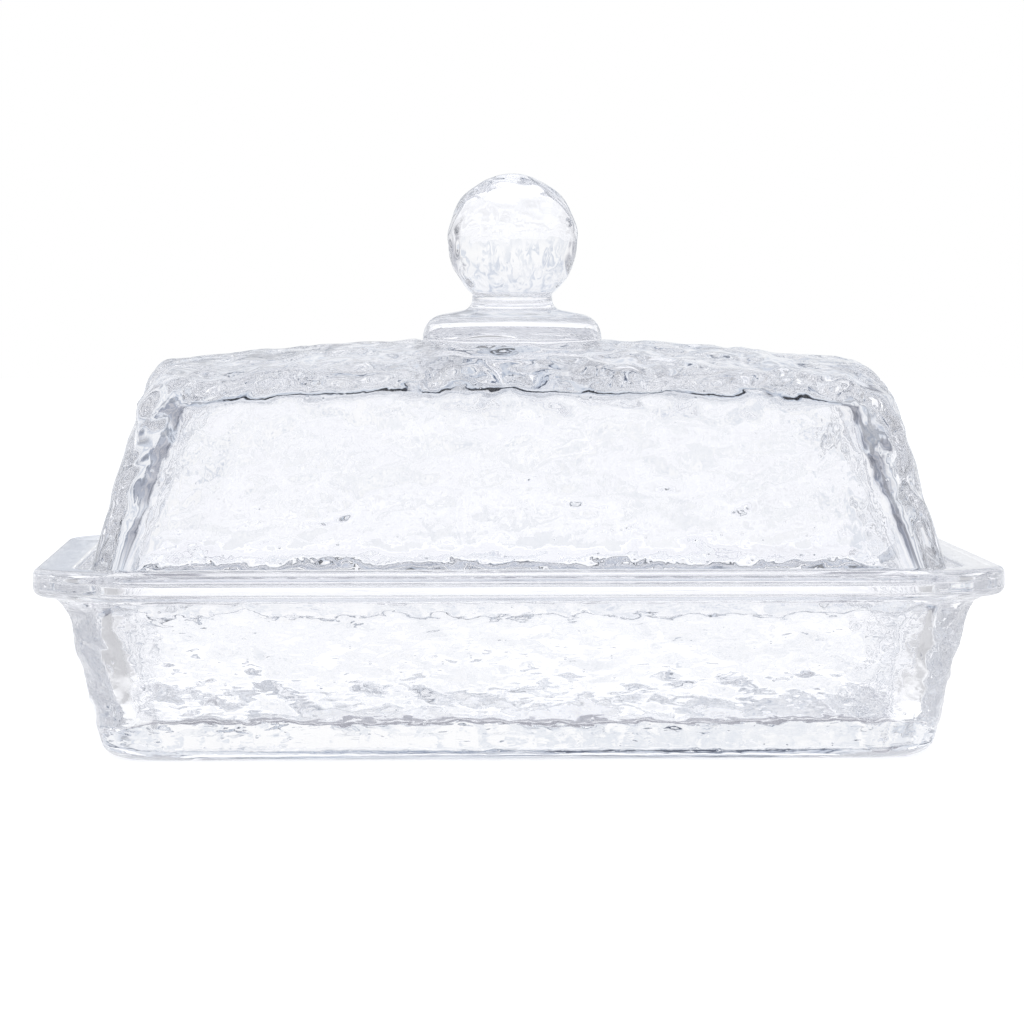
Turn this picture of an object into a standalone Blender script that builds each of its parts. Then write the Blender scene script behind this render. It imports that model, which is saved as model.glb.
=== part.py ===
"""Covered butter dish in thick pressed glass: a dish with a wide rim, and a lid that stands inside the rim.

Both pieces are rounded rectangles in plan and are lofted from their sections. The dish's section runs from the foot
ring up a drafted wall, flares out under a flat rim, and steps down inside the rim to a ledge. The lid stands on that
ledge, with a little play all round. Its walls are drafted, its top is crowned both ways, and a round plate, a neck
and a ball knob are pressed in one with it.

Metres, +Z up, +X along the dish. The origin is on the table, under the middle of the dish.
"""

import math

import bmesh
import bpy
from mathutils import Vector

# Rim of the dish
RIM_LENGTH = 0.190
RIM_WIDTH = 0.120
RIM_CORNER = 0.0165
RIM_THICKNESS = 0.0055
RIM_UPPER_EDGE = 0.0014
RIM_LOWER_EDGE = 0.0018
RIM_LAND = 0.0084
RIM_INNER_EDGE = 0.0008

# Walls, floor and foot of the dish
DISH_HEIGHT = 0.038
DISH_OVERHANG = 0.0057
DISH_FLARE = 0.0050
DISH_DRAFT = math.radians(13)
DISH_FOOT_EDGE = 0.0045
DISH_INNER_DRAFT = math.radians(10)
DISH_CORNER_TIGHTENING = 0.4
FLOOR_THICKNESS = 0.0075
FLOOR_FILLET = 0.002
FOOT_RING = 0.007
FOOT_RECESS = 0.0009

# Ledge inside the rim, on which the lid stands
LEDGE_DEPTH = 0.003
LEDGE_WIDTH = 0.0052
LEDGE_FILLET = 0.0006
LEDGE_EDGE = 0.0009
WELL_CORNER_TIGHTENING = 0.2
LID_PLAY = 0.0018
SEAT_GAP = 0.0003

# Walls and top of the lid
LID_HEIGHT = 0.0465
LID_FOOT_THICKNESS = 0.0048
LID_FOOT_EDGE = 0.0010
LID_DRAFT = math.radians(15.5)
LID_INNER_DRAFT = math.radians(16.5)
LID_SHOULDER = 0.0055
LID_INNER_SHOULDER = 0.0025
LID_TOP_THICKNESS = 0.0060
LID_TOP_THINNING = 0.0006
LID_CORNER_OPENING = 0.2
LID_INNER_CORNER = 0.004
LID_INNER_CORNER_OPENING = 0.65

# How far the crowned top falls from its middle to its ends, its sides and its corners. The ceiling falls less
# towards the ends, by the thinning of the top.
CROWN_TO_ENDS = 0.0050
CROWN_TO_SIDES = 0.0050
CROWN_TO_CORNERS = 0.0088

# Knob on the lid
PLATE_RADIUS = 0.0184
PLATE_HEIGHT = 0.0044
PLATE_TAPER = 0.0006
PLATE_SHOULDER = 0.0046
PLATE_RISE = 0.0018
NECK_RADIUS = 0.0082
NECK_FILLET = 0.0024
NECK_HEIGHT = 0.0030
BALL_RADIUS = 0.0133
BALL_HALF_HEIGHT = 0.0138

# The well's corners are concentric with the rim's, and the lid's foot keeps its play from them all round
WELL_CORNER = RIM_CORNER - RIM_LAND
LID_LENGTH = RIM_LENGTH - 2 * (RIM_LAND + LID_PLAY)
LID_WIDTH = RIM_WIDTH - 2 * (RIM_LAND + LID_PLAY)
LID_CORNER = WELL_CORNER - LID_PLAY

# Facets
SHARP_ANGLE = math.radians(40)
CORNER_STEPS = 8
LID_STEPS_ALONG = 14
LID_STEPS_ACROSS = 8
FILLET_STEPS = 4
CROWN_RINGS = 7
KNOB_STEPS = 48
BALL_STEPS = 16


def filleted(corners):
    """Points along an open path of (across, up, radius) corners, with each corner rounded by an arc."""
    places = [Vector(corner[:2]) for corner in corners]
    points = [places[0]]
    for before, corner, after, (_, _, radius) in zip(places, places[1:], places[2:], corners[1:]):
        if radius == 0:
            points.append(corner)
            continue
        back = (before - corner).normalized()
        ahead = (after - corner).normalized()
        half_angle = back.angle(ahead) / 2
        centre = corner + (back + ahead).normalized() * radius / math.sin(half_angle)
        start = corner + back * radius / math.tan(half_angle) - centre
        end = corner + ahead * radius / math.tan(half_angle) - centre
        sweep = start.angle(end)
        for step in range(FILLET_STEPS + 1):
            turn = sweep * step / FILLET_STEPS
            points.append(centre + (start * math.sin(sweep - turn) + end * math.sin(turn)) / math.sin(sweep))
    points.append(places[-1])
    return points


def rounded_rectangle(half_length, half_width, radius, steps_along, steps_across):
    """Points round a rounded rectangle, anticlockwise, with its straight sides cut into steps."""
    corners = (
        (1, -1, -90, steps_across),
        (1, 1, 0, steps_along),
        (-1, 1, 90, steps_across),
        (-1, -1, 180, steps_along),
    )
    arcs = []
    for side_x, side_y, first_angle, _ in corners:
        centre = Vector((side_x * (half_length - radius), side_y * (half_width - radius)))
        angles = [math.radians(first_angle + 90 * step / CORNER_STEPS) for step in range(CORNER_STEPS + 1)]
        arcs.append([centre + radius * Vector((math.cos(angle), math.sin(angle))) for angle in angles])
    points = []
    for arc, next_arc, (_, _, _, steps) in zip(arcs, arcs[1:] + arcs[:1], corners):
        points += arc
        points += [arc[-1].lerp(next_arc[0], step / steps) for step in range(1, steps)]
    return points


def skinned(name, rings, first_pole=None, last_pole=None):
    """A closed body over a list of rings. Each end is a flat face, or a fan to the pole given for it."""
    shape = bmesh.new()
    loops = [[shape.verts.new(point) for point in ring] for ring in rings]
    for loop, next_loop in zip(loops, loops[1:]):
        for a, b, c, d in zip(loop, loop[1:] + loop[:1], next_loop[1:] + next_loop[:1], next_loop):
            shape.faces.new((a, b, c, d))
    for loop, pole in ((loops[0], first_pole), (loops[-1], last_pole)):
        if pole is None:
            shape.faces.new(loop)
            continue
        tip = shape.verts.new(pole)
        for a, b in zip(loop, loop[1:] + loop[:1]):
            shape.faces.new((a, b, tip))
    bmesh.ops.recalc_face_normals(shape, faces=shape.faces)
    mesh = bpy.data.meshes.new(name)
    shape.to_mesh(mesh)
    shape.free()
    mesh.shade_smooth()
    mesh.set_sharp_from_angle(angle=SHARP_ANGLE)
    body = bpy.data.objects.new(name, mesh)
    bpy.context.collection.objects.link(body)
    return body


def clear_glass():
    """Clear pressed glass, with the faint grey-violet of soda-lime tableware."""
    material = bpy.data.materials.new("clear glass")
    material.use_nodes = True
    shader = material.node_tree.nodes["Principled BSDF"]
    shader.inputs["Base Color"].default_value = (0.90, 0.91, 0.95, 1)
    shader.inputs["Metallic"].default_value = 0
    shader.inputs["Roughness"].default_value = 0.06
    shader.inputs["IOR"].default_value = 1.52
    shader.inputs["Transmission Weight"].default_value = 0.9
    return material


def dish_outline(inset, corner, tightening):
    """Plan of the dish at a distance in from the edge of its rim."""
    half_length = RIM_LENGTH / 2 - inset
    half_width = RIM_WIDTH / 2 - inset
    return rounded_rectangle(half_length, half_width, corner - tightening, 1, 1)


def make_dish(glass):
    """The dish, lofted from under its floor, out over the rim and back in to the floor of its well."""
    rim_underside = DISH_HEIGHT - RIM_THICKNESS
    foot = DISH_OVERHANG + math.tan(DISH_DRAFT) * rim_underside
    ledge_height = DISH_HEIGHT - LEDGE_DEPTH
    well = RIM_LAND + LEDGE_WIDTH
    floor = well + math.tan(DISH_INNER_DRAFT) * (ledge_height - FLOOR_THICKNESS)
    outside = filleted([
        (foot + FOOT_RING + FOOT_RECESS, FOOT_RECESS, 0),
        (foot + FOOT_RING, 0, 0),
        (foot, 0, DISH_FOOT_EDGE),
        (DISH_OVERHANG, rim_underside, DISH_FLARE),
        (0, rim_underside, RIM_LOWER_EDGE),
        (0, DISH_HEIGHT, RIM_UPPER_EDGE),
        (RIM_LAND, DISH_HEIGHT, 0),
    ])[:-1]
    inside = filleted([
        (0, DISH_HEIGHT, 0),
        (RIM_LAND, DISH_HEIGHT, RIM_INNER_EDGE),
        (RIM_LAND, ledge_height, LEDGE_FILLET),
        (well, ledge_height, LEDGE_EDGE),
        (floor, FLOOR_THICKNESS, FLOOR_FILLET),
        (floor + 2 * FLOOR_FILLET, FLOOR_THICKNESS, 0),
    ])[1:]
    rings = []
    for inset, height in outside:
        plan = dish_outline(inset, RIM_CORNER, DISH_CORNER_TIGHTENING * inset)
        rings.append([Vector((place.x, place.y, height)) for place in plan])
    for inset, height in inside:
        plan = dish_outline(inset, WELL_CORNER, WELL_CORNER_TIGHTENING * (inset - RIM_LAND))
        rings.append([Vector((place.x, place.y, height)) for place in plan])
    dish = skinned("base_dish", rings)
    dish.data.materials.append(glass)
    return dish


def crown_fall(x, y, wall=0):
    """How far the lid's top, or its ceiling inside a wall, lies below its middle at a place in plan."""
    top_inset = math.tan(LID_DRAFT) * LID_HEIGHT
    along = (x / (LID_LENGTH / 2 - top_inset)) ** 2
    across = (y / (LID_WIDTH / 2 - top_inset)) ** 2
    twist = CROWN_TO_ENDS + CROWN_TO_SIDES - CROWN_TO_CORNERS
    thinning = LID_TOP_THINNING if wall else 0
    return (CROWN_TO_ENDS - thinning) * along + CROWN_TO_SIDES * across - twist * along * across


def lid_outline(inset, wall=0):
    """Plan of the lid at a distance in from the edge of its foot, on its outside or inside by a wall's thickness."""
    half_length = LID_LENGTH / 2 - inset
    half_width = LID_WIDTH / 2 - inset
    if wall:
        corner = LID_INNER_CORNER + LID_INNER_CORNER_OPENING * (inset - wall)
    else:
        corner = LID_CORNER + LID_CORNER_OPENING * inset
    return rounded_rectangle(half_length, half_width, corner, LID_STEPS_ALONG, LID_STEPS_ACROSS)


def crowned_ring(inset, height, draft, wall=0, scale=1):
    """A ring above the lid's foot. It slides down the drafted wall as far as the crown falls there."""
    ring = []
    for index, nominal in enumerate(lid_outline(inset, wall)):
        fall = crown_fall(nominal.x * scale, nominal.y * scale, wall)
        slide = math.tan(draft) * crown_fall(nominal.x, nominal.y, wall)
        place = lid_outline(inset - slide, wall)[index] * scale
        ring.append(Vector((place.x, place.y, height - fall)))
    return ring


def make_lid(glass):
    """The lid, lofted from its ceiling down inside, round its foot, and up outside to the middle of its top."""
    ceiling = LID_HEIGHT - LID_TOP_THICKNESS
    inner_top = LID_FOOT_THICKNESS + math.tan(LID_INNER_DRAFT) * ceiling
    outer_top = math.tan(LID_DRAFT) * LID_HEIGHT
    inside = filleted([
        (inner_top + 2 * LID_INNER_SHOULDER, ceiling, 0),
        (inner_top, ceiling, LID_INNER_SHOULDER),
        (LID_FOOT_THICKNESS, 0, 0),
    ])[1:-1]
    foot_inside = filleted([
        (inner_top, ceiling, 0),
        (LID_FOOT_THICKNESS, 0, LID_FOOT_EDGE),
        (0, 0, 0),
    ])[1:-1]
    foot_outside = filleted([
        (LID_FOOT_THICKNESS, 0, 0),
        (0, 0, LID_FOOT_EDGE),
        (outer_top, LID_HEIGHT, 0),
    ])[1:-1]
    outside = filleted([
        (0, 0, 0),
        (outer_top, LID_HEIGHT, LID_SHOULDER),
        (outer_top + 2 * LID_SHOULDER, LID_HEIGHT, 0),
    ])[1:-1]

    def under(inset, height, scale=1):
        return crowned_ring(inset, height, LID_INNER_DRAFT, LID_FOOT_THICKNESS, scale)

    def over(inset, height, scale=1):
        return crowned_ring(inset, height, LID_DRAFT, 0, scale)

    def level(inset, height, wall):
        return [Vector((place.x, place.y, height)) for place in lid_outline(inset, wall)]

    scales = [ring / CROWN_RINGS for ring in range(1, CROWN_RINGS)]
    rings = [under(inside[0].x, ceiling, scale) for scale in scales]
    rings += [under(inset, height) for inset, height in inside]
    rings += [level(inset, height, LID_FOOT_THICKNESS) for inset, height in foot_inside]
    rings += [level(inset, height, 0) for inset, height in foot_outside]
    rings += [over(inset, height) for inset, height in outside]
    rings += [over(outside[-1].x, LID_HEIGHT, scale) for scale in reversed(scales)]
    lid = skinned("lid", rings, Vector((0, 0, ceiling)), Vector((0, 0, LID_HEIGHT)))
    lid.location.z = DISH_HEIGHT - LEDGE_DEPTH + SEAT_GAP
    lid.data.materials.append(glass)

    union = lid.modifiers.new("Knob", 'BOOLEAN')
    union.operation = 'UNION'
    union.solver = 'EXACT'
    union.object = make_knob(glass)
    union.object.parent = lid
    return lid


def make_knob(glass):
    """Plate, neck and ball, turned about the lid's axis. The plate is rooted half-way into the lid's top."""
    root = LID_HEIGHT - (LID_TOP_THICKNESS + crown_fall(0, PLATE_RADIUS)) / 2
    plate_top = LID_HEIGHT + PLATE_HEIGHT
    neck = plate_top + PLATE_RISE
    ball_meets_neck = neck + NECK_HEIGHT
    under_ball = math.asin(NECK_RADIUS / BALL_RADIUS)
    ball_centre = ball_meets_neck + BALL_HALF_HEIGHT * math.cos(under_ball)
    profile = filleted([
        (0, root, 0),
        (PLATE_RADIUS, root, 0),
        (PLATE_RADIUS - PLATE_TAPER, plate_top, PLATE_SHOULDER),
        (NECK_RADIUS, neck, NECK_FILLET),
        (NECK_RADIUS, ball_meets_neck, 0),
    ])[1:-1]
    for step in range(BALL_STEPS):
        angle = under_ball + (math.pi - under_ball) * step / BALL_STEPS
        profile.append(Vector((BALL_RADIUS * math.sin(angle), ball_centre - BALL_HALF_HEIGHT * math.cos(angle))))
    turns = [math.tau * step / KNOB_STEPS for step in range(KNOB_STEPS)]
    rings = [[Vector((across * math.cos(t), across * math.sin(t), up)) for t in turns] for across, up in profile]
    knob = skinned("knob", rings, Vector((0, 0, root)), Vector((0, 0, ball_centre + BALL_HALF_HEIGHT)))
    knob.data.materials.append(glass)
    knob.hide_render = True
    knob.display_type = 'WIRE'
    return knob


for old in list(bpy.data.objects):
    bpy.data.objects.remove(old)
clear = clear_glass()
make_dish(clear)
make_lid(clear)
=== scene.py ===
"""Covered butter dish in hammered clear glass: the looks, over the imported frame. Metres, +Z up, +X along the dish."""

import math

import bpy
import numpy as np
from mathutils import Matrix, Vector


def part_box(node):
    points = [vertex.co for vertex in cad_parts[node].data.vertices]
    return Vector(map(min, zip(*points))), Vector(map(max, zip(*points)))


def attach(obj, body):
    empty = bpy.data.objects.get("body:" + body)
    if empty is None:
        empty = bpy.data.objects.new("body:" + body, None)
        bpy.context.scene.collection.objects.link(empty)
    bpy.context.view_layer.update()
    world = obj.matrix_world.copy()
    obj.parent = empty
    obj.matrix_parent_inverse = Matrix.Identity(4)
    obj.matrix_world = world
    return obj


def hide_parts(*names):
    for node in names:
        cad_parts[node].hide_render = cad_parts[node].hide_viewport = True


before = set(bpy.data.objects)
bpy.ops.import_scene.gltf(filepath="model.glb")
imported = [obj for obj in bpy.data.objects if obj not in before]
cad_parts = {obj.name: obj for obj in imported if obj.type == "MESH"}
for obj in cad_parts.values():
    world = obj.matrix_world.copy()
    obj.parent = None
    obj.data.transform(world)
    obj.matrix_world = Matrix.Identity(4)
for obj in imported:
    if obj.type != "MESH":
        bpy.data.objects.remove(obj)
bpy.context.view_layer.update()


# --- Dish ---------------------------------------------------------------------------------------------------------
# The lower half is one heavy pressing of clear soda-lime glass. The mould leaves its rim, its well and its foot
# smooth, and the outside of its walls rippled like ice that has begun to melt.

DISH_LOW, DISH_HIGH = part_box("base_dish")
RIM_LENGTH = DISH_HIGH[0] - DISH_LOW[0]
RIM_WIDTH = DISH_HIGH[1] - DISH_LOW[1]
RIM_TOP = DISH_HIGH[2]
RIM_CORNER = 0.0165
RIM_THICKNESS = 0.0055
RIM_UPPER_EDGE = 0.0014
RIM_LOWER_EDGE = 0.0018
RIM_INNER_EDGE = 0.0008
RIM_LAND = 0.0084
OVERHANG = 0.0057
FLARE = 0.0050
WALL_DRAFT = math.radians(13)
WELL_DRAFT = math.radians(10)
WALL_CORNER_TIGHTENING = 0.4
WELL_CORNER_TIGHTENING = 0.2
FLOOR_THICKNESS = 0.0075
FLOOR_FILLET = 0.002
FOOT_EDGE = 0.0045
FOOT_RING = 0.007
FOOT_RECESS = 0.0009
LEDGE_DEPTH = 0.003
LEDGE_WIDTH = 0.0052
LEDGE_FILLET = 0.0006
LEDGE_EDGE = 0.0009

DISH_STEPS = (180, 100, 18)
WALL_SPACING = 0.0006
WELL_SPACING = 0.003
FLOOR_BORDER = 0.010

# Where the pattern sets in above the foot, comes to its full depth above the floor, and ends under the rim.
FOOT_BLEND = (0.0010, 0.0024)
SLAB_PATTERN = 0.2
SLAB_BLEND = (FLOOR_THICKNESS - 0.0025, FLOOR_THICKNESS + 0.0005)
RIM_BLEND = 0.0015


def filleted(corners, steps=6):
    """Points along an open path of (across, up, radius) corners, with each corner rounded by an arc."""
    places = [Vector(corner[:2]) for corner in corners]
    points = [places[0]]
    for before, corner, after, (_, _, radius) in zip(places, places[1:], places[2:], corners[1:]):
        if radius == 0:
            points.append(corner)
            continue
        back = (before - corner).normalized()
        ahead = (after - corner).normalized()
        half_angle = back.angle(ahead) / 2
        centre = corner + (back + ahead).normalized() * radius / math.sin(half_angle)
        start = corner + back * radius / math.tan(half_angle) - centre
        end = corner + ahead * radius / math.tan(half_angle) - centre
        sweep = start.angle(end)
        for step in range(steps + 1):
            turn = sweep * step / steps
            points.append(centre + (start * math.sin(sweep - turn) + end * math.sin(turn)) / math.sin(sweep))
    points.append(places[-1])
    return points


def filled_in(points, spacing):
    """The same path with extra points, so that no two lie further apart than the spacing."""
    path = [points[0]]
    for point, after in zip(points, points[1:]):
        steps = max(1, math.ceil((after - point).length / spacing))
        path += [point.lerp(after, step / steps) for step in range(1, steps + 1)]
    return path


def plan(half_length, half_width, radius, steps):
    """A rounded rectangle as an array of points, anticlockwise, with steps along, across and round each corner."""
    along, across, round_corner = steps
    turn = np.radians(90) * np.arange(round_corner + 1) / round_corner
    corners = ((1, -1, -90, across), (1, 1, 0, along), (-1, 1, 90, across), (-1, -1, 180, along))
    arcs = []
    for side_x, side_y, first_angle, _ in corners:
        angle = turn + np.radians(first_angle)
        x = side_x * (half_length - radius) + radius * np.cos(angle)
        y = side_y * (half_width - radius) + radius * np.sin(angle)
        arcs.append(np.stack([x, y], axis=1))
    points = []
    for arc, next_arc, (_, _, _, count) in zip(arcs, arcs[1:] + arcs[:1], corners):
        share = (np.arange(1, count) / count)[:, None]
        points += [arc, arc[-1] + share * (next_arc[0] - arc[-1])]
    return np.concatenate(points)


def level_ring(points, height):
    """A ring of plan points at one height."""
    return np.column_stack([points, np.full(len(points), height)])


def pressed_glass(name, rings, hammering, first_pole, last_pole):
    """A closed skin over rings of equal count. Each ring has the depth and the width of the mould's pattern there."""
    count = len(rings[0])
    places = np.concatenate([*rings, [first_pole, last_pole]])
    here = np.arange(count)
    after = (here + 1) % count
    faces = []
    for ring in range(len(rings) - 1):
        low, high = ring * count, (ring + 1) * count
        faces += np.column_stack([low + here, low + after, high + after, high + here]).tolist()
    first, last, top = len(rings) * count, len(rings) * count + 1, (len(rings) - 1) * count
    faces += np.column_stack([np.full(count, first), after, here]).tolist()
    faces += np.column_stack([top + here, top + after, np.full(count, last)]).tolist()
    mesh = bpy.data.meshes.new(name)
    mesh.from_pydata(places.tolist(), [], faces)
    mesh.shade_smooth()
    for attribute, values in zip(("hammering", "dent scale"), np.array(hammering, dtype=float).T):
        layer = mesh.attributes.new(attribute, 'FLOAT', 'POINT')
        layer.data.foreach_set("value", np.append(np.repeat(values, count), [values[0], values[-1]]))
    piece = bpy.data.objects.new(name, mesh)
    bpy.context.scene.collection.objects.link(piece)
    return piece


def linear(hex_colour):
    """An sRGB hex colour as linear RGBA."""
    values = [int(hex_colour[start:start + 2], 16) / 255 for start in (1, 3, 5)]
    return (*[v / 12.92 if v <= 0.04045 else ((v + 0.055) / 1.055) ** 2.4 for v in values], 1)


def add_node(tree, kind, links=None, stops=(), **settings):
    """Adds a node, sets its properties and colour stops, and gives its inputs a value or a link from a socket."""
    node = tree.nodes.new(kind)
    for name, value in settings.items():
        setattr(node, name, value)
    for name, value in (links or {}).items():
        if isinstance(value, bpy.types.NodeSocket):
            tree.links.new(value, node.inputs[name])
        else:
            node.inputs[name].default_value = value
    for _ in stops[2:]:
        node.color_ramp.elements.new(0.5)
    for stop, (position, hex_colour) in enumerate(stops):
        node.color_ramp.elements[stop].position = position
        node.color_ramp.elements[stop].color = linear(hex_colour)
    return node


PIT_SPACING = 0.0030
PIT_WIDTH = 0.0009
PIT_DEPTH = 0.00012


def soda_lime_glass(name, ripple_size, ripple_depth):
    """Clear soda-lime glass, fire-polished after pressing, so it is smooth, with hardly any tint.

    Ripples and pits too fine for the mesh are a bump on it, where its mesh has fine ripples too: they give the eye
    the short strokes and the odd speck between the larger dents.
    """
    glass = bpy.data.materials.new(name)
    glass.use_nodes = True
    tree = glass.node_tree
    tree.nodes.clear()
    place = add_node(tree, "ShaderNodeTexCoord").outputs["Object"]
    stretched = add_node(tree, "ShaderNodeMapping", {"Vector": place, "Scale": [1 / size for size in ripple_size]})
    ripples = add_node(tree, "ShaderNodeTexNoise", {
        "Vector": stretched.outputs["Vector"], "Scale": 1.0, "Detail": 1.0, "Roughness": 0.4, "Distortion": 0.6,
    })
    ripple = add_node(tree, "ShaderNodeMath", {0: ripples.outputs["Fac"], 1: ripple_depth}, operation='MULTIPLY')
    seeds = add_node(tree, "ShaderNodeTexVoronoi", {"Vector": place, "Scale": 1 / PIT_SPACING})
    pit = add_node(tree, "ShaderNodeMapRange", {
        "Value": seeds.outputs["Distance"], "From Min": 0.0, "From Max": PIT_WIDTH / 2 / PIT_SPACING,
        "To Min": -PIT_DEPTH, "To Max": 0.0,
    }, interpolation_type='SMOOTHSTEP')
    marks = add_node(tree, "ShaderNodeMath", {0: ripple.outputs[0], 1: pit.outputs["Result"]}, operation='ADD')
    fine_ripples = add_node(tree, "ShaderNodeAttribute", attribute_name="fine ripples")
    height = add_node(tree, "ShaderNodeMath", {
        0: marks.outputs[0], 1: fine_ripples.outputs["Fac"],
    }, operation='MULTIPLY')
    bump = add_node(tree, "ShaderNodeBump", {"Height": height.outputs[0], "Strength": 1.0, "Distance": 1.0})
    shader = add_node(tree, "ShaderNodeBsdfPrincipled", {
        "Base Color": linear("#FEFEFF"), "Metallic": 0.0, "Roughness": 0.0, "IOR": 1.52, "Transmission Weight": 1.0,
        "Normal": bump.outputs["Normal"],
    })
    add_node(tree, "ShaderNodeOutputMaterial", {"Surface": shader.outputs["BSDF"]})
    return glass


# The mould's pattern: rounded dents with finer ripples over them, pushed out or in along the glass's own normal. The
# long walls have shallower dents and all of the ripples. The lean tips the pattern over, up the wall.
SIZES = ("Dent width", "Dent height", "Dent depth", "Ripple width", "Ripple depth", "End ripples", "Lean", "Seed")
DENT_SMOOTHNESS = 0.65
DENT_MIDDLE = 0.56  # this far from a dent's middle, in dent widths, the glass stays where it is
WARP = 1.4
LONG_WALL_FACING = (0.80, 0.95)
LONG_WALL_DENTS = -0.35
RIPPLE_ONSET = 3.0

hammered = bpy.data.node_groups.new("hammered mould pattern", 'GeometryNodeTree')
hammered.interface.new_socket("Geometry", in_out='INPUT', socket_type='NodeSocketGeometry')
for size_name in SIZES:
    hammered.interface.new_socket(size_name, in_out='INPUT', socket_type='NodeSocketFloat')
hammered.interface.new_socket("Glass", in_out='INPUT', socket_type='NodeSocketMaterial')
hammered.interface.new_socket("Geometry", in_out='OUTPUT', socket_type='NodeSocketGeometry')
given = add_node(hammered, "NodeGroupInput").outputs
position = add_node(hammered, "GeometryNodeInputPosition").outputs[0]
normal = add_node(hammered, "GeometryNodeInputNormal").outputs[0]
cut = add_node(hammered, "GeometryNodeInputNamedAttribute", {"Name": "hammering"}, data_type='FLOAT')
dent_scale = add_node(hammered, "GeometryNodeInputNamedAttribute", {"Name": "dent scale"}, data_type='FLOAT')

east, north, up = add_node(hammered, "ShaderNodeSeparateXYZ", {0: position}).outputs
leaned_east = add_node(hammered, "ShaderNodeMath", {0: up, 1: given["Lean"], 2: east}, operation='MULTIPLY_ADD')
leaned_north = add_node(hammered, "ShaderNodeMath", {0: up, 1: given["Lean"], 2: north}, operation='MULTIPLY_ADD')
leaned = add_node(hammered, "ShaderNodeCombineXYZ", {0: leaned_east.outputs[0], 1: leaned_north.outputs[0], 2: up})
dent_size = add_node(hammered, "ShaderNodeCombineXYZ", {
    0: given["Dent width"], 1: given["Dent width"], 2: given["Dent height"],
})
local_size = add_node(hammered, "ShaderNodeVectorMath", {
    0: dent_size.outputs[0], "Scale": dent_scale.outputs["Attribute"],
}, operation='SCALE')
dent_place = add_node(hammered, "ShaderNodeVectorMath", {
    0: leaned.outputs[0], 1: local_size.outputs[0],
}, operation='DIVIDE')
warp = add_node(hammered, "ShaderNodeTexNoise", {
    "Vector": dent_place.outputs[0], "W": given["Seed"], "Scale": 0.6, "Detail": 1.0,
}, noise_dimensions='4D')
warp_push = add_node(hammered, "ShaderNodeVectorMath", {
    0: warp.outputs["Color"], 1: (WARP, WARP, WARP),
}, operation='MULTIPLY')
warped = add_node(hammered, "ShaderNodeVectorMath", {0: dent_place.outputs[0], 1: warp_push.outputs[0]})
dents = add_node(hammered, "ShaderNodeTexVoronoi", {
    "Vector": warped.outputs[0], "W": given["Seed"], "Scale": 1.0, "Smoothness": DENT_SMOOTHNESS,
}, voronoi_dimensions='4D', feature='SMOOTH_F1')
dent_shape = add_node(hammered, "ShaderNodeMath", {
    0: dents.outputs["Distance"], 1: DENT_MIDDLE,
}, operation='SUBTRACT')
dent_rise = add_node(hammered, "ShaderNodeMath", {
    0: dent_shape.outputs[0], 1: given["Dent depth"],
}, operation='MULTIPLY')

ripple_size = add_node(hammered, "ShaderNodeCombineXYZ", {
    axis: given["Ripple width"] for axis in range(3)
})
ripple_place = add_node(hammered, "ShaderNodeVectorMath", {
    0: leaned.outputs[0], 1: ripple_size.outputs[0],
}, operation='DIVIDE')
ripples = add_node(hammered, "ShaderNodeTexNoise", {
    "Vector": ripple_place.outputs[0], "W": given["Seed"], "Scale": 1.0, "Detail": 1.0, "Roughness": 0.5,
}, noise_dimensions='4D')
ripple_shape = add_node(hammered, "ShaderNodeMath", {0: ripples.outputs["Fac"], 1: 0.5}, operation='SUBTRACT')

facing_north = add_node(hammered, "ShaderNodeSeparateXYZ", {0: normal}).outputs["Y"]
facing_out = add_node(hammered, "ShaderNodeMath", {0: facing_north}, operation='ABSOLUTE')
long_walls = add_node(hammered, "ShaderNodeMapRange", {
    "Value": facing_out.outputs[0], "From Min": LONG_WALL_FACING[0], "From Max": LONG_WALL_FACING[1],
})
wall_dents = add_node(hammered, "ShaderNodeMath", {
    0: long_walls.outputs["Result"], 1: LONG_WALL_DENTS, 2: 1.0,
}, operation='MULTIPLY_ADD')
dent_share = add_node(hammered, "ShaderNodeMath", {
    0: wall_dents.outputs[0], 1: cut.outputs["Attribute"],
}, operation='MULTIPLY')
dents_cut = add_node(hammered, "ShaderNodeMath", {
    0: dent_rise.outputs[0], 1: dent_share.outputs[0],
}, operation='MULTIPLY')
wall_ripples = add_node(hammered, "ShaderNodeMath", {
    0: long_walls.outputs["Result"], 1: given["End ripples"],
}, operation='MAXIMUM')
ripple_onset = add_node(hammered, "ShaderNodeMath", {
    0: cut.outputs["Attribute"], 1: RIPPLE_ONSET,
}, operation='MULTIPLY', use_clamp=True)
ripple_share = add_node(hammered, "ShaderNodeMath", {
    0: wall_ripples.outputs[0], 1: ripple_onset.outputs[0],
}, operation='MULTIPLY')
ripple_reach = add_node(hammered, "ShaderNodeMath", {
    0: ripple_share.outputs[0], 1: given["Ripple depth"],
}, operation='MULTIPLY')
rise = add_node(hammered, "ShaderNodeMath", {
    0: ripple_shape.outputs[0], 1: ripple_reach.outputs[0], 2: dents_cut.outputs[0],
}, operation='MULTIPLY_ADD')

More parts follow.
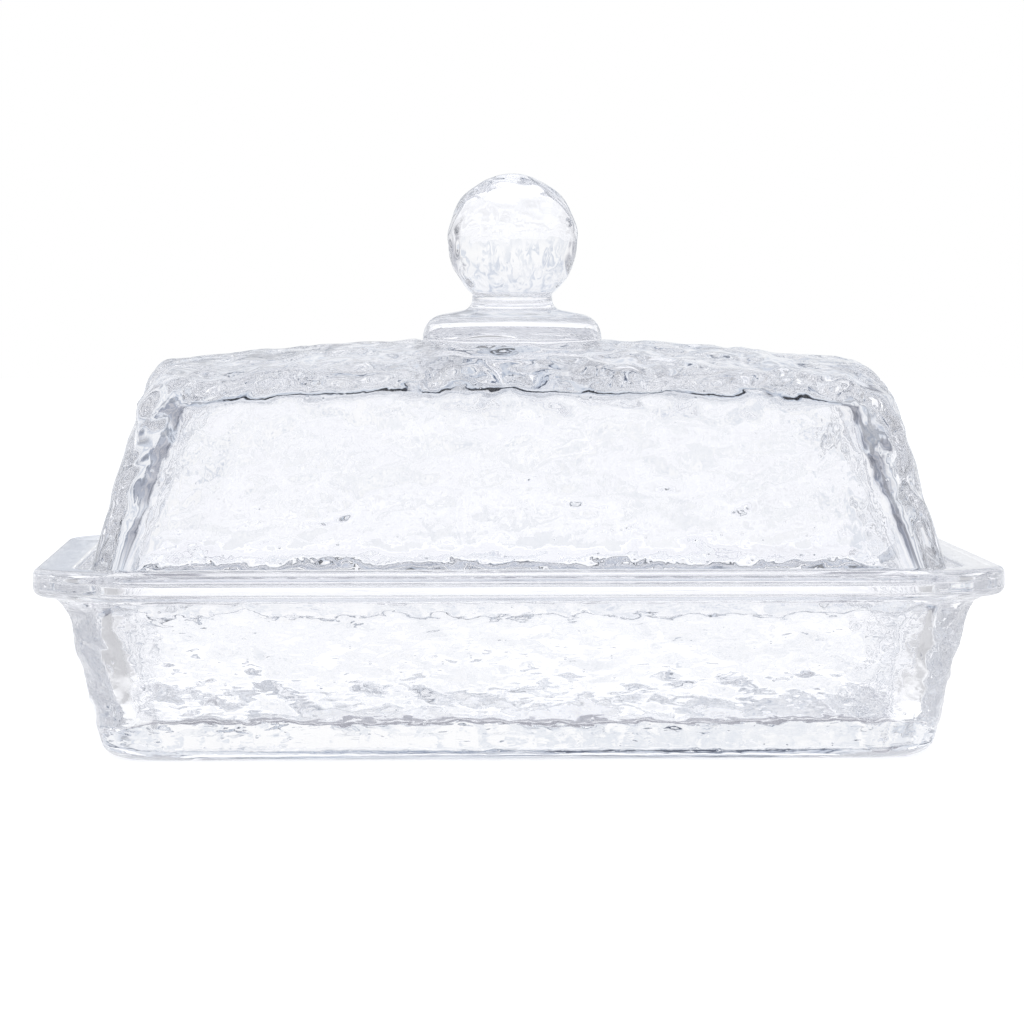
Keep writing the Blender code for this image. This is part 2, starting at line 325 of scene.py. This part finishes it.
push = add_node(hammered, "ShaderNodeVectorMath", {0: normal, "Scale": rise.outputs[0]}, operation='SCALE')
marked = add_node(hammered, "GeometryNodeStoreNamedAttribute", {
    "Geometry": given["Geometry"], "Name": "fine ripples", "Value": ripple_share.outputs[0],
}, data_type='FLOAT', domain='POINT')
pushed = add_node(hammered, "GeometryNodeSetPosition", {
    "Geometry": marked.outputs["Geometry"], "Offset": push.outputs[0],
})
real = add_node(hammered, "GeometryNodeRealizeInstances", {"Geometry": pushed.outputs["Geometry"]})
glazed = add_node(hammered, "GeometryNodeSetMaterial", {
    "Geometry": real.outputs["Geometry"], "Material": given["Glass"],
})
add_node(hammered, "NodeGroupOutput", {"Geometry": glazed.outputs["Geometry"]})


def hammer(piece, glass, **sizes):
    """Presses the mould's pattern into a piece and keeps the result as its plain mesh."""
    modifier = piece.modifiers.new("Mould pattern", 'NODES')
    modifier.node_group = hammered
    sockets = {item.name: item.identifier for item in hammered.interface.items_tree if item.in_out == 'INPUT'}
    for size_name, value in sizes.items():
        modifier[sockets[size_name.replace("_", " ").capitalize()]] = float(value)
    modifier[sockets["Glass"]] = glass
    pressed = bpy.data.meshes.new_from_object(piece.evaluated_get(bpy.context.evaluated_depsgraph_get()))
    piece.modifiers.remove(modifier)
    piece.data = pressed
    return piece


def eased(value, start, end):
    """0 up to start, 1 from end, and a smooth step between."""
    share = min(max((value - start) / (end - start), 0), 1)
    return share * share * (3 - 2 * share)


def dish_plan(inset, corner):
    """The dish's plan at an inset from the rim's edge."""
    return plan(RIM_LENGTH / 2 - inset, RIM_WIDTH / 2 - inset, corner, DISH_STEPS)


underside = RIM_TOP - RIM_THICKNESS
foot = OVERHANG + math.tan(WALL_DRAFT) * underside
ledge = RIM_TOP - LEDGE_DEPTH
well = RIM_LAND + LEDGE_WIDTH
floor_edge = well + math.tan(WELL_DRAFT) * (ledge - FLOOR_THICKNESS)
dish_outside = filled_in(filleted([
    (foot + FOOT_RING + FOOT_RECESS, FOOT_RECESS, 0),
    (foot + FOOT_RING, 0, 0),
    (foot, 0, FOOT_EDGE),
    (OVERHANG, underside, FLARE),
    (0, underside, RIM_LOWER_EDGE),
    (0, RIM_TOP, RIM_UPPER_EDGE),
    (RIM_LAND, RIM_TOP, 0),
])[:-1], WALL_SPACING)
dish_inside = filled_in(filleted([
    (0, RIM_TOP, 0),
    (RIM_LAND, RIM_TOP, RIM_INNER_EDGE),
    (RIM_LAND, ledge, LEDGE_FILLET),
    (well, ledge, LEDGE_EDGE),
    (floor_edge, FLOOR_THICKNESS, FLOOR_FILLET),
    (floor_edge + FLOOR_BORDER, FLOOR_THICKNESS, 0),
])[1:], WELL_SPACING)

# Each ring of the skin comes with the pattern's depth and the dents' scale there.
SMOOTH = (0, 1)
dish_rings, dish_hammering = [], []
for inset, height in dish_outside:
    dish_rings.append(level_ring(dish_plan(inset, RIM_CORNER - WALL_CORNER_TIGHTENING * inset), height))
    beside_floor = SLAB_PATTERN + (1 - SLAB_PATTERN) * eased(height, *SLAB_BLEND)
    under_rim = 1 - eased(height, underside - RIM_BLEND, underside)
    on_wall = eased(height, *FOOT_BLEND) * beside_floor * under_rim
    dish_hammering.append((on_wall, 1) if inset > OVERHANG - FLARE else SMOOTH)
for inset, height in dish_inside:
    corner = RIM_CORNER - RIM_LAND - WELL_CORNER_TIGHTENING * (inset - RIM_LAND)
    dish_rings.append(level_ring(dish_plan(inset, corner), height))
    dish_hammering.append(SMOOTH)
dish = pressed_glass("dish", dish_rings, dish_hammering, (0, 0, FOOT_RECESS), (0, 0, FLOOR_THICKNESS))
dish_glass = soda_lime_glass("pressed soda-lime glass of the dish",
                             ripple_size=(0.0034, 0.0034, 0.0014), ripple_depth=0.00015)
hammer(dish, dish_glass, dent_width=0.0066, dent_height=0.0058, dent_depth=0.0018,
       ripple_width=0.0018, ripple_depth=0.00055, end_ripples=0.9, lean=0.4, seed=3)
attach(dish, "dish")
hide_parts("base_dish")


# --- Lid ----------------------------------------------------------------------------------------------------------
# The upper half is a second pressing of the same glass: drafted walls, a top crowned both ways, and a plate, a neck
# and a ball to lift it by, all in one. Its foot stands on the ledge of the dish. Plate, neck, foot and inside are
# smooth, and walls, top and ball are hammered.

LID_LOW, LID_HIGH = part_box("lid")
LID_LENGTH = LID_HIGH[0] - LID_LOW[0]
LID_WIDTH = LID_HIGH[1] - LID_LOW[1]
SEAT = LID_LOW[2]
LID_CORNER = 0.0063
LID_CORNER_OPENING = 0.2
LID_INNER_CORNER = 0.004
LID_INNER_OPENING = 0.65
LID_DRAFT = math.radians(15.5)
LID_INNER_DRAFT = math.radians(16.5)
FOOT_WIDTH = 0.0048
LID_FOOT_EDGE = 0.001
SHOULDER = 0.0055
INNER_SHOULDER = 0.0025
TOP_THICKNESS = 0.0060
TOP_THINNING = 0.0006
CROWN_TO_ENDS = 0.0050
CROWN_TO_SIDES = 0.0050
CROWN_TO_CORNERS = 0.0088
PLATE_RADIUS = 0.0184
PLATE_HEIGHT = 0.0044
PLATE_TAPER = 0.0006
PLATE_SHOULDER = 0.0046
PLATE_RISE = 0.0018
NECK_RADIUS = 0.0082
NECK_FILLET = 0.0024
NECK_HEIGHT = 0.0030
BALL_RADIUS = 0.0133
BALL_HALF_HEIGHT = 0.0138
BALL_CENTRE = LID_HIGH[2] - SEAT - BALL_HALF_HEIGHT
NECK_TOP = BALL_CENTRE - BALL_HALF_HEIGHT * math.sqrt(1 - (NECK_RADIUS / BALL_RADIUS) ** 2)
NECK_FOOT = NECK_TOP - NECK_HEIGHT
PLATE_TOP = NECK_FOOT - PLATE_RISE
CROWN_TOP = PLATE_TOP - PLATE_HEIGHT

LID_STEPS = (136, 72, 11)
CEILING_RINGS = np.linspace(0.12, 0.92, 8)
INNER_WALL_RINGS = (0.2, 0.4, 0.6, 0.8)
WALL_RINGS = 62
SHOULDER_STEPS = 10
CROWN_RINGS = 36
KNOB_SPACING = 0.0012
BALL_RINGS = 46

# Shares of the pattern that set in up the wall, each over a span of height above the rim: hardly any at the foot, and
# more than the plain depth near the shoulder.
WALL_PATTERN = ((0.06, -0.002, 0.002), (0.94, 0.003, 0.022), (0.2, 0.028, 0.036))
SHOULDER_PATTERN = 1.3

# On the crown the pattern first calms down and then ends at the plate, over these shares of the way in. On the ball it
# comes and goes over these shares of the way up.
CROWN_CALM = 0.3
CROWN_CALM_SPAN = (0, 0.2)
CROWN_END_SPAN = (0.93, 1)
BALL_PATTERN = 0.5
BALL_DENT_SCALE = 0.8
BALL_START_SPAN = (0, 0.12)
BALL_END_SPAN = (0.8, 0.96)


def crown_fall(x, y, wall=0):
    """How far the top, or the ceiling inside a wall, lies below its middle."""
    top_inset = math.tan(LID_DRAFT) * CROWN_TOP
    along = (x / (LID_LENGTH / 2 - top_inset)) ** 2
    across = (y / (LID_WIDTH / 2 - top_inset)) ** 2
    twist = CROWN_TO_ENDS + CROWN_TO_SIDES - CROWN_TO_CORNERS
    to_ends = CROWN_TO_ENDS - TOP_THINNING if wall else CROWN_TO_ENDS
    return to_ends * along + CROWN_TO_SIDES * across - twist * along * across


def lid_plan(inset, wall, slide=0):
    """Plan of the lid, on its outside or inside by a wall's thickness. Slide moves each point out from that inset."""
    corner, opening = (LID_INNER_CORNER, LID_INNER_OPENING) if wall else (LID_CORNER, LID_CORNER_OPENING)
    corner += opening * (inset - wall)
    nominal = plan(LID_LENGTH / 2 - inset, LID_WIDTH / 2 - inset, corner, LID_STEPS)
    if np.ndim(slide) == 0:
        return nominal
    reach = float(np.max(slide))
    wider = plan(LID_LENGTH / 2 - inset + reach, LID_WIDTH / 2 - inset + reach,
                 corner - opening * reach, LID_STEPS)
    return nominal + (wider - nominal) * (slide / reach)[:, None]


def crowned_ring(inset, height, draft, wall):
    """A ring of the walls or shoulder, as far down the drafted wall as the crown falls there."""
    fall = crown_fall(*lid_plan(inset, wall).T, wall)
    points = lid_plan(inset, wall, math.tan(draft) * fall)
    return np.column_stack([points, SEAT + height - fall])


ceiling = CROWN_TOP - TOP_THICKNESS
inner_top = FOOT_WIDTH + math.tan(LID_INNER_DRAFT) * ceiling
outer_top = math.tan(LID_DRAFT) * CROWN_TOP
top_middle = LID_WIDTH / 2
inner_shoulder = filleted([(top_middle, ceiling, 0), (inner_top, ceiling, INNER_SHOULDER), (FOOT_WIDTH, 0, 0)])[1:-1]
inner_foot = filleted([(inner_top, ceiling, 0), (FOOT_WIDTH, 0, LID_FOOT_EDGE), (0, 0, 0)])[1:-1]
outer_foot = filleted([(FOOT_WIDTH, 0, 0), (0, 0, LID_FOOT_EDGE), (outer_top, CROWN_TOP, 0)])[1:-1]
shoulder = filleted([(0, 0, 0), (outer_top, CROWN_TOP, SHOULDER), (top_middle, CROWN_TOP, 0)], SHOULDER_STEPS)[1:-1]

# The skin starts at the middle of the ceiling and goes down the inside, round the foot and up the outside.
lid_rings, lid_hammering = [], []
inner_edge = lid_plan(inner_shoulder[0].x, FOOT_WIDTH)
for share in CEILING_RINGS:
    points = inner_edge * share
    lid_rings.append(np.column_stack([points, SEAT + ceiling - crown_fall(*points.T, FOOT_WIDTH)]))
lid_rings += [crowned_ring(inset, height, LID_INNER_DRAFT, FOOT_WIDTH) for inset, height in inner_shoulder]
inner_wall_top = lid_rings[-1]
inner_wall_foot = level_ring(lid_plan(inner_foot[0].x, FOOT_WIDTH), SEAT + inner_foot[0].y)
lid_rings += [inner_wall_top + (inner_wall_foot - inner_wall_top) * share for share in INNER_WALL_RINGS]
lid_rings += [level_ring(lid_plan(inset, FOOT_WIDTH), SEAT + height) for inset, height in inner_foot]
lid_rings += [level_ring(lid_plan(inset, 0), SEAT + height) for inset, height in outer_foot]
lid_hammering += [SMOOTH] * len(lid_rings)
wall_foot = lid_rings[-1]
wall_top = crowned_ring(*shoulder[0], LID_DRAFT, 0)
for ring in range(1, WALL_RINGS):
    share = ring / WALL_RINGS
    lid_rings.append(wall_foot + (wall_top - wall_foot) * share)
    above_rim = share * CROWN_TOP - (RIM_TOP - SEAT)
    lid_hammering.append((sum(part * eased(above_rim, start, end) for part, start, end in WALL_PATTERN), 1))
lid_rings += [crowned_ring(inset, height, LID_DRAFT, 0) for inset, height in shoulder]
lid_hammering += [(SHOULDER_PATTERN, 1)] * len(shoulder)

# The crown runs from the shoulder's rounded rectangle in to the round foot of the plate.
crown_edge = lid_rings[-1][:, :2]
crown_nominal = lid_plan(shoulder[-1].x, 0)
angle = np.arctan2(crown_edge[:, 1], crown_edge[:, 0])
around = np.column_stack([np.cos(angle), np.sin(angle)])
round_foot = PLATE_RADIUS * around
for ring in range(1, CROWN_RINGS + 1):
    share = ring / CROWN_RINGS
    points = crown_edge + (round_foot - crown_edge) * share
    nominal = crown_nominal + (round_foot - crown_nominal) * share
    lid_rings.append(np.column_stack([points, SEAT + CROWN_TOP - crown_fall(*nominal.T)]))
    calmed = SHOULDER_PATTERN - CROWN_CALM * eased(share, *CROWN_CALM_SPAN)
    lid_hammering.append((calmed - eased(share, *CROWN_END_SPAN), 1))
knob = filled_in(filleted([
    (PLATE_RADIUS, CROWN_TOP, 0),
    (PLATE_RADIUS - PLATE_TAPER, PLATE_TOP, PLATE_SHOULDER),
    (NECK_RADIUS, NECK_FOOT, NECK_FILLET),
    (NECK_RADIUS, NECK_TOP, 0),
]), KNOB_SPACING)
lid_hammering += [SMOOTH] * len(knob)
under_ball = math.asin(NECK_RADIUS / BALL_RADIUS)
for ring in range(1, BALL_RINGS):
    share = ring / BALL_RINGS
    tilt = under_ball + (math.pi - under_ball) * share
    knob.append(Vector((BALL_RADIUS * math.sin(tilt), BALL_CENTRE - BALL_HALF_HEIGHT * math.cos(tilt))))
    on_ball = BALL_PATTERN * eased(share, *BALL_START_SPAN) * (1 - eased(share, *BALL_END_SPAN))
    lid_hammering.append((on_ball, BALL_DENT_SCALE))
lid_rings += [level_ring(around * across, SEAT + height) for across, height in knob]
lid = pressed_glass("lid_shell", lid_rings, lid_hammering,
                    (0, 0, SEAT + ceiling), (0, 0, SEAT + BALL_CENTRE + BALL_HALF_HEIGHT))
lid_glass = soda_lime_glass("pressed soda-lime glass of the lid",
                            ripple_size=(0.0018, 0.0018, 0.0034), ripple_depth=0.00013)
hammer(lid, lid_glass, dent_width=0.0070, dent_height=0.0062, dent_depth=0.0024,
       ripple_width=0.0022, ripple_depth=0.00062, end_ripples=0, lean=0, seed=11)
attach(lid, "lid")
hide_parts("lid")


# --- Studio -------------------------------------------------------------------------------------------------------
# A bright-field tent, as clear glass is lit: white cloth all round with faint creases, open at both ends, under a
# softbox with a dark slot in it, and a white paper floor. Rays that the glass has mirrored find dark gaps as well.

world = bpy.data.worlds.new("light tent")
bpy.context.scene.world = world
world.use_nodes = True
sky = world.node_tree
sky.nodes.clear()
direction = add_node(sky, "ShaderNodeTexCoord").outputs["Generated"]
sideways, _, upwards = add_node(sky, "ShaderNodeSeparateXYZ", {0: direction}).outputs
ray = add_node(sky, "ShaderNodeLightPath").outputs

# The softbox, less bright overhead. Its dark slot, twice as long as it is wide, draws the thin dark line where the
# lid's ceiling meets the walls.
SLOT_DIRECTION = (0.05, 0.27, 0.96)
SLOT_SQUASH = (0.5, 1.0, 1.0)
softbox = add_node(sky, "ShaderNodeValToRGB", {"Fac": upwards}, stops=[
    (0.0, "#FAFBFD"), (0.10, "#FFFFFF"), (0.60, "#F7F8FB"), (0.80, "#DDE2EA"), (1.0, "#DDE2EA"),
])
from_slot = add_node(sky, "ShaderNodeVectorMath", {0: direction, 1: SLOT_DIRECTION}, operation='SUBTRACT')
slot_shape = add_node(sky, "ShaderNodeVectorMath", {0: from_slot.outputs[0], 1: SLOT_SQUASH}, operation='MULTIPLY')
slot_distance = add_node(sky, "ShaderNodeVectorMath", {0: slot_shape.outputs[0]}, operation='LENGTH')
slot = add_node(sky, "ShaderNodeValToRGB", {"Fac": slot_distance.outputs["Value"]}, stops=[
    (0.0, "#20222B"), (0.105, "#20222B"), (0.13, "#5A5F70"), (0.17, "#FFFFFF"), (1.0, "#FFFFFF"),
])
mirrored_once = add_node(sky, "ShaderNodeMath", {
    0: 2.0, 1: ray["Glossy Depth"],
}, operation='SUBTRACT', use_clamp=True)
overhead = add_node(sky, "ShaderNodeMix", {
    0: mirrored_once.outputs[0], 6: softbox.outputs["Color"], 7: slot.outputs["Color"],
}, data_type='RGBA', blend_type='MULTIPLY')

# Creases hang in the cloth, fainter near the horizon, where the walls are seen straight through the glass.
hanging = add_node(sky, "ShaderNodeMapping", {"Vector": direction, "Scale": (12.0, 12.0, 3.0)})
creases = add_node(sky, "ShaderNodeTexNoise", {
    "Vector": hanging.outputs["Vector"], "Scale": 1.0, "Detail": 1.0, "Roughness": 0.5,
})
cloth = add_node(sky, "ShaderNodeValToRGB", {"Fac": creases.outputs["Fac"]}, stops=[
    (0.0, "#C6CCDA"), (0.38, "#DFE4EC"), (0.54, "#FFFFFF"), (1.0, "#FFFFFF"),
])
creased = add_node(sky, "ShaderNodeMapRange", {
    "Value": upwards, "From Min": 0.0, "From Max": 0.10, "To Min": 0.45, "To Max": 1.0,
})
tent = add_node(sky, "ShaderNodeMix", {
    0: creased.outputs["Result"], 6: overhead.outputs[2], 7: cloth.outputs["Color"],
}, data_type='RGBA', blend_type='MULTIPLY')

# The open ends are the grey bands at the ends of the lid and the dish.
to_side = add_node(sky, "ShaderNodeMath", {0: sideways}, operation='ABSOLUTE')
openings = add_node(sky, "ShaderNodeValToRGB", {"Fac": to_side.outputs[0]}, stops=[
    (0.0, "#FFFFFF"), (0.72, "#FFFFFF"), (0.80, "#CBCBD0"), (0.90, "#B2B2B8"), (1.0, "#A9A9B0"),
])
open_tent = add_node(sky, "ShaderNodeMix", {
    0: 1.0, 6: tent.outputs[2], 7: openings.outputs["Color"],
}, data_type='RGBA', blend_type='MULTIPLY')

# The gaps give thick glass its grey swirls. They count for half after one reflection inside the glass, and in full
# after two. Glass seen straight through stays clear of them.
clutter = add_node(sky, "ShaderNodeTexNoise", {"Vector": direction, "Scale": 3.0, "Detail": 1.0, "Roughness": 0.5})
gaps = add_node(sky, "ShaderNodeValToRGB", {"Fac": clutter.outputs["Fac"]}, stops=[
    (0.0, "#3B465C"), (0.39, "#465269"), (0.43, "#B8C0CF"), (0.49, "#F3F5F8"), (1.0, "#FAFAFC"),
])
mirrored = add_node(sky, "ShaderNodeMath", {0: ray["Glossy Depth"], 1: 0.5}, operation='MULTIPLY', use_clamp=True)
room = add_node(sky, "ShaderNodeMix", {
    0: mirrored.outputs[0], 6: open_tent.outputs[2], 7: gaps.outputs["Color"],
}, data_type='RGBA', blend_type='MULTIPLY')

# The camera sees plain white behind the dish, and matt surfaces are lit by plain white too.
plain = add_node(sky, "ShaderNodeMath", {0: ray["Is Camera Ray"], 1: ray["Diffuse Depth"]}, operation='MAXIMUM')
seen = add_node(sky, "ShaderNodeMix", {
    0: plain.outputs[0], 6: room.outputs[2], 7: linear("#FFFFFF"),
}, data_type='RGBA')
glow = add_node(sky, "ShaderNodeBackground", {"Color": seen.outputs[2], "Strength": 1.0})
add_node(sky, "ShaderNodeOutputWorld", {"Surface": glow.outputs["Background"]})

FLOOR_REACH = 3.0
floor_mesh = bpy.data.meshes.new("floor")
floor_mesh.from_pydata([(-FLOOR_REACH, -FLOOR_REACH, 0), (FLOOR_REACH, -FLOOR_REACH, 0),
                        (FLOOR_REACH, FLOOR_REACH, 0), (-FLOOR_REACH, FLOOR_REACH, 0)], [], [(0, 1, 2, 3)])
floor = bpy.data.objects.new("floor", floor_mesh)
bpy.context.scene.collection.objects.link(floor)

# White paper. Its matt part takes the dish's shadow, and its glow brings it up to white: for the camera by a fixed
# lift, and through the glass by the terms below, which stand for how the paper is lit.
CAMERA_LIFT = 0.86
paper = bpy.data.materials.new("white paper sweep")
paper.use_nodes = True
paper_tree = paper.node_tree
paper_tree.nodes.clear()
matt = add_node(paper_tree, "ShaderNodeBsdfDiffuse", {"Color": linear("#9E9EA1")})
paper_ray = add_node(paper_tree, "ShaderNodeLightPath").outputs
spot = add_node(paper_tree, "ShaderNodeTexCoord").outputs["Object"]
spot_x, spot_y, _ = add_node(paper_tree, "ShaderNodeSeparateXYZ", {0: spot}).outputs
away = add_node(paper_tree, "ShaderNodeVectorMath", {0: spot}, operation='LENGTH').outputs["Value"]
out_x = add_node(paper_tree, "ShaderNodeMath", {0: spot_x}, operation='ABSOLUTE').outputs[0]
out_y = add_node(paper_tree, "ShaderNodeMath", {0: spot_y}, operation='ABSOLUTE').outputs[0]

# Painted light: the paper's glow is brighter round the dish than further off, with faint painted shade of waves in the
# paper.
falling_off = add_node(paper_tree, "ShaderNodeMapRange", {
    "Value": away, "From Min": 0.12, "From Max": 0.24, "To Min": 0.98, "To Max": 0.75,
})
painted_wave_shade = add_node(paper_tree, "ShaderNodeTexNoise", {"Vector": spot, "Scale": 10.0, "Detail": 1.0, "Roughness": 0.6})
wave_light = add_node(paper_tree, "ShaderNodeMapRange", {
    "Value": painted_wave_shade.outputs["Fac"], "From Min": 0.36, "From Max": 0.58, "To Min": 0.78, "To Max": 1.0,
})
glow_with_wave_shade = add_node(paper_tree, "ShaderNodeMath", {
    0: falling_off.outputs["Result"], 1: wave_light.outputs["Result"],
}, operation='MULTIPLY')

# A strip of painted shadow on the paper inside the foot ring draws the grey line along the dish's floor; its painted
# shade is tinted lavender.
STRIP_INSET = 0.008
ring_inset = foot + FOOT_RING / 2
past_x = add_node(paper_tree, "ShaderNodeMath", {0: out_x, 1: RIM_LENGTH / 2 - ring_inset}, operation='SUBTRACT')
past_y = add_node(paper_tree, "ShaderNodeMath", {0: out_y, 1: RIM_WIDTH / 2 - ring_inset}, operation='SUBTRACT')
past_ring = add_node(paper_tree, "ShaderNodeMath", {0: past_x.outputs[0], 1: past_y.outputs[0]}, operation='MAXIMUM')
past_strip = add_node(paper_tree, "ShaderNodeMath", {0: past_ring.outputs[0], 1: STRIP_INSET}, operation='ADD')
from_strip = add_node(paper_tree, "ShaderNodeMath", {0: past_strip.outputs[0]}, operation='ABSOLUTE')
unshaded = add_node(paper_tree, "ShaderNodeMapRange", {
    "Value": from_strip.outputs[0], "From Min": 0.004, "From Max": 0.008, "To Min": 0.32, "To Max": 1.0,
}, interpolation_type='SMOOTHSTEP')
round_ring = add_node(paper_tree, "ShaderNodeMath", {
    0: glow_with_wave_shade.outputs[0], 1: unshaded.outputs["Result"],
}, operation='MULTIPLY')

# Painted shade: the paper's glow is darker off both open ends of the tent.
towards_end = add_node(paper_tree, "ShaderNodeMath", {0: out_x, 1: away}, operation='DIVIDE')
end_light = add_node(paper_tree, "ShaderNodeMapRange", {
    "Value": towards_end.outputs[0], "From Min": 0.70, "From Max": 0.92, "To Min": 1.0, "To Max": 0.42,
})
past_dish = add_node(paper_tree, "ShaderNodeMapRange", {"Value": away, "From Min": 0.10, "From Max": 0.14})
side_light = add_node(paper_tree, "ShaderNodeMix", {
    0: past_dish.outputs["Result"], 2: 1.0, 3: end_light.outputs["Result"],
}, data_type='FLOAT')
round_ends = add_node(paper_tree, "ShaderNodeMath", {
    0: round_ring.outputs[0], 1: side_light.outputs[0],
}, operation='MULTIPLY')

# Rays mirrored twice or more in the glass lose the far paper, as they lose the tent in its gaps.
mirrored_twice = add_node(paper_tree, "ShaderNodeMath", {
    0: paper_ray["Glossy Depth"], 1: 1.5,
}, operation='GREATER_THAN')
far_paper = add_node(paper_tree, "ShaderNodeMapRange", {
    "Value": away, "From Min": 0.12, "From Max": 0.4, "To Min": 0.0, "To Max": 0.7,
})
lost = add_node(paper_tree, "ShaderNodeMath", {
    0: mirrored_twice.outputs[0], 1: far_paper.outputs["Result"],
}, operation='MULTIPLY')
kept = add_node(paper_tree, "ShaderNodeMath", {0: 1.0, 1: lost.outputs[0]}, operation='SUBTRACT')
paper_glow = add_node(paper_tree, "ShaderNodeMath", {
    0: round_ends.outputs[0], 1: kept.outputs[0],
}, operation='MULTIPLY')

seen_through = add_node(paper_tree, "ShaderNodeMath", {
    0: paper_ray["Is Transmission Ray"], 1: paper_ray["Is Glossy Ray"],
}, operation='MAXIMUM')
through_lift = add_node(paper_tree, "ShaderNodeMath", {
    0: seen_through.outputs[0], 1: paper_glow.outputs[0],
}, operation='MULTIPLY')
lift = add_node(paper_tree, "ShaderNodeMath", {
    0: paper_ray["Is Camera Ray"], 1: CAMERA_LIFT, 2: through_lift.outputs[0],
}, operation='MULTIPLY_ADD')
# The glow's colour: lavender in the painted shadow strip, near white elsewhere.
shadow_strip_tint = add_node(paper_tree, "ShaderNodeMix", {
    0: unshaded.outputs["Result"], 6: linear("#E7E8FF"), 7: linear("#FCFDFF"),
}, data_type='RGBA')
glowing = add_node(paper_tree, "ShaderNodeEmission", {"Color": shadow_strip_tint.outputs[2], "Strength": lift.outputs[0]})
both = add_node(paper_tree, "ShaderNodeAddShader", {0: matt.outputs[0], 1: glowing.outputs[0]})
add_node(paper_tree, "ShaderNodeOutputMaterial", {"Surface": both.outputs[0]})
floor_mesh.materials.append(paper)


# --- Camera -------------------------------------------------------------------------------------------------------
# A long lens, as high as the lower half of the ball and a little to the left of the middle, tipped and turned to hold
# the whole dish. Nothing is shifted or blurred.

camera_data = bpy.data.cameras.new("camera")
camera_data.lens = 137.85
camera_data.clip_start = 0.05
camera = bpy.data.objects.new("camera", camera_data)
camera.location = (-0.0303, -0.8075, 0.0932)
camera.rotation_euler = (math.radians(90 - 3.34), 0, math.radians(-2.146))
bpy.context.scene.collection.objects.link(camera)
bpy.context.scene.camera = camera
bpy.context.scene.view_settings.view_transform = 'Standard'

# Light leaves thick hammered glass only after many reflections inside it, and would be lost as black before that.
BOUNCES = 32
bpy.context.scene.cycles.max_bounces = BOUNCES
bpy.context.scene.cycles.glossy_bounces = BOUNCES
bpy.context.scene.cycles.transmission_bounces = BOUNCES
